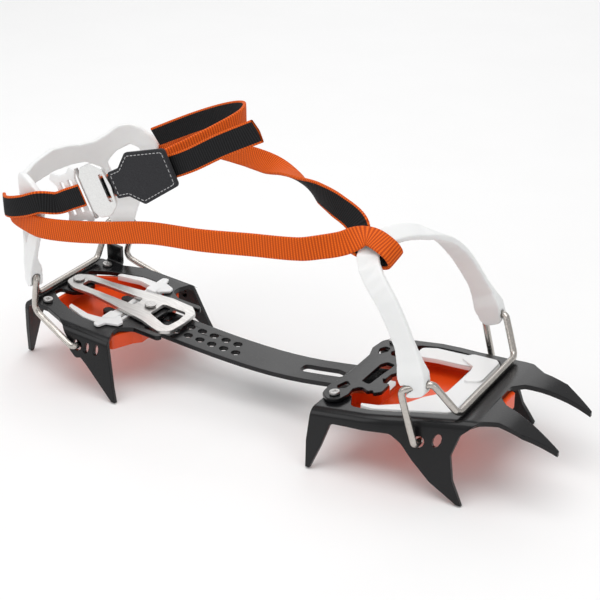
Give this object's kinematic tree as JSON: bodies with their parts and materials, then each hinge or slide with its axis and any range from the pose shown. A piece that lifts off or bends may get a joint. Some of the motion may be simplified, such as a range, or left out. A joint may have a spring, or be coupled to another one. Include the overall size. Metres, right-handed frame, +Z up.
{
  "type": "strap-on crampon",
  "caption": "Strap-on crampon for one boot: two black spiked steel plates on a perforated linking bar, wire bails with white loops and an orange ankle strap.",
  "frame": {"origin": "centre of the footprint on the ground, under the middle of the linking bar", "axes": "+X from heel to toe, +Y to the boot's left, +Z up; the point tips stand on z = 0"},
  "size_m": [0.3047, 0.1052, 0.168],
  "materials": {
    "black_steel": "satin",
    "brushed_steel": "brushed",
    "bail_wire": "satin",
    "fastener_steel": "satin",
    "buckle_metal": "satin",
    "orange_plastic": "satin",
    "white_plastic": "satin",
    "orange_webbing": "matte",
    "black_webbing": "matte",
    "black_felt": "matte"
  },
  "bodies": {
    "heel_body": {"rear_plate": "black_steel", "rear_antisnow": "orange_plastic", "rear_snow_frame": "white_plastic", "rear_screw_near": "fastener_steel", "rear_screw_far": "fastener_steel", "lever_rivet": "fastener_steel"},
    "lever_body": {"adjust_lever": "brushed_steel", "lever_pin": "fastener_steel"},
    "bar_body": {"linking_bar": "black_steel"},
    "toe_body": {"front_plate": "black_steel", "crosspiece": "black_steel", "front_antisnow": "orange_plastic", "front_snow_frame": "white_plastic", "front_screw_near": "fastener_steel", "front_screw_far": "fastener_steel"},
    "front_bail_body": {"front_wire": "bail_wire", "front_loop": "white_plastic"},
    "heel_bail_body": {"heel_wire": "bail_wire", "heel_loop": "white_plastic", "buckle_frame": "white_plastic", "buckle_pin": "fastener_steel", "strap_near": "orange_webbing", "strap_laced": "black_webbing", "strap_far": "orange_webbing", "strap_return": "orange_webbing", "strap_tail": "black_webbing"},
    "buckle_body": {"buckle_plate": "buckle_metal", "release_tab": "black_felt"}
  },
  "joints": [
    {"name": "lever_lift", "type": "hinge", "parent": "heel_body", "child": "lever_body", "pos_m": [-0.1318, 0, 0.036], "axis": [0, 1, 0], "range_deg": [-5, 0], "stiffness_Nm_per_rad": 0.6},
    {"name": "length_slide", "type": "slide", "parent": "heel_body", "child": "bar_body", "axis": [0.995, 0, -0.0995], "range_m": [-0.02, 0.02]},
    {"name": "toe_rock", "type": "hinge", "parent": "bar_body", "child": "toe_body", "pos_m": [0.0455, 0, 0.0265], "axis": [0, 1, 0], "range_deg": [-3, 3], "stiffness_Nm_per_rad": 6},
    {"name": "front_bail_fold", "type": "hinge", "parent": "toe_body", "child": "front_bail_body", "pos_m": [0.0923, 0, 0.0253], "axis": [0, 1, 0], "range_deg": [-35, 0]},
    {"name": "heel_bail_fold", "type": "hinge", "parent": "heel_body", "child": "heel_bail_body", "pos_m": [-0.1024, 0, 0.0245], "axis": [0, 1, 0], "range_deg": [0, 40], "deforming": ["strap_near", "strap_laced", "strap_far", "strap_return", "strap_tail"]},
    {"name": "buckle_release", "type": "hinge", "parent": "heel_bail_body", "child": "buckle_body", "pos_m": [-0.08505, -0.04729, 0.11414], "axis": [0.4252, 0.0085, -0.9051], "range_deg": [0, 30]}
  ]
}
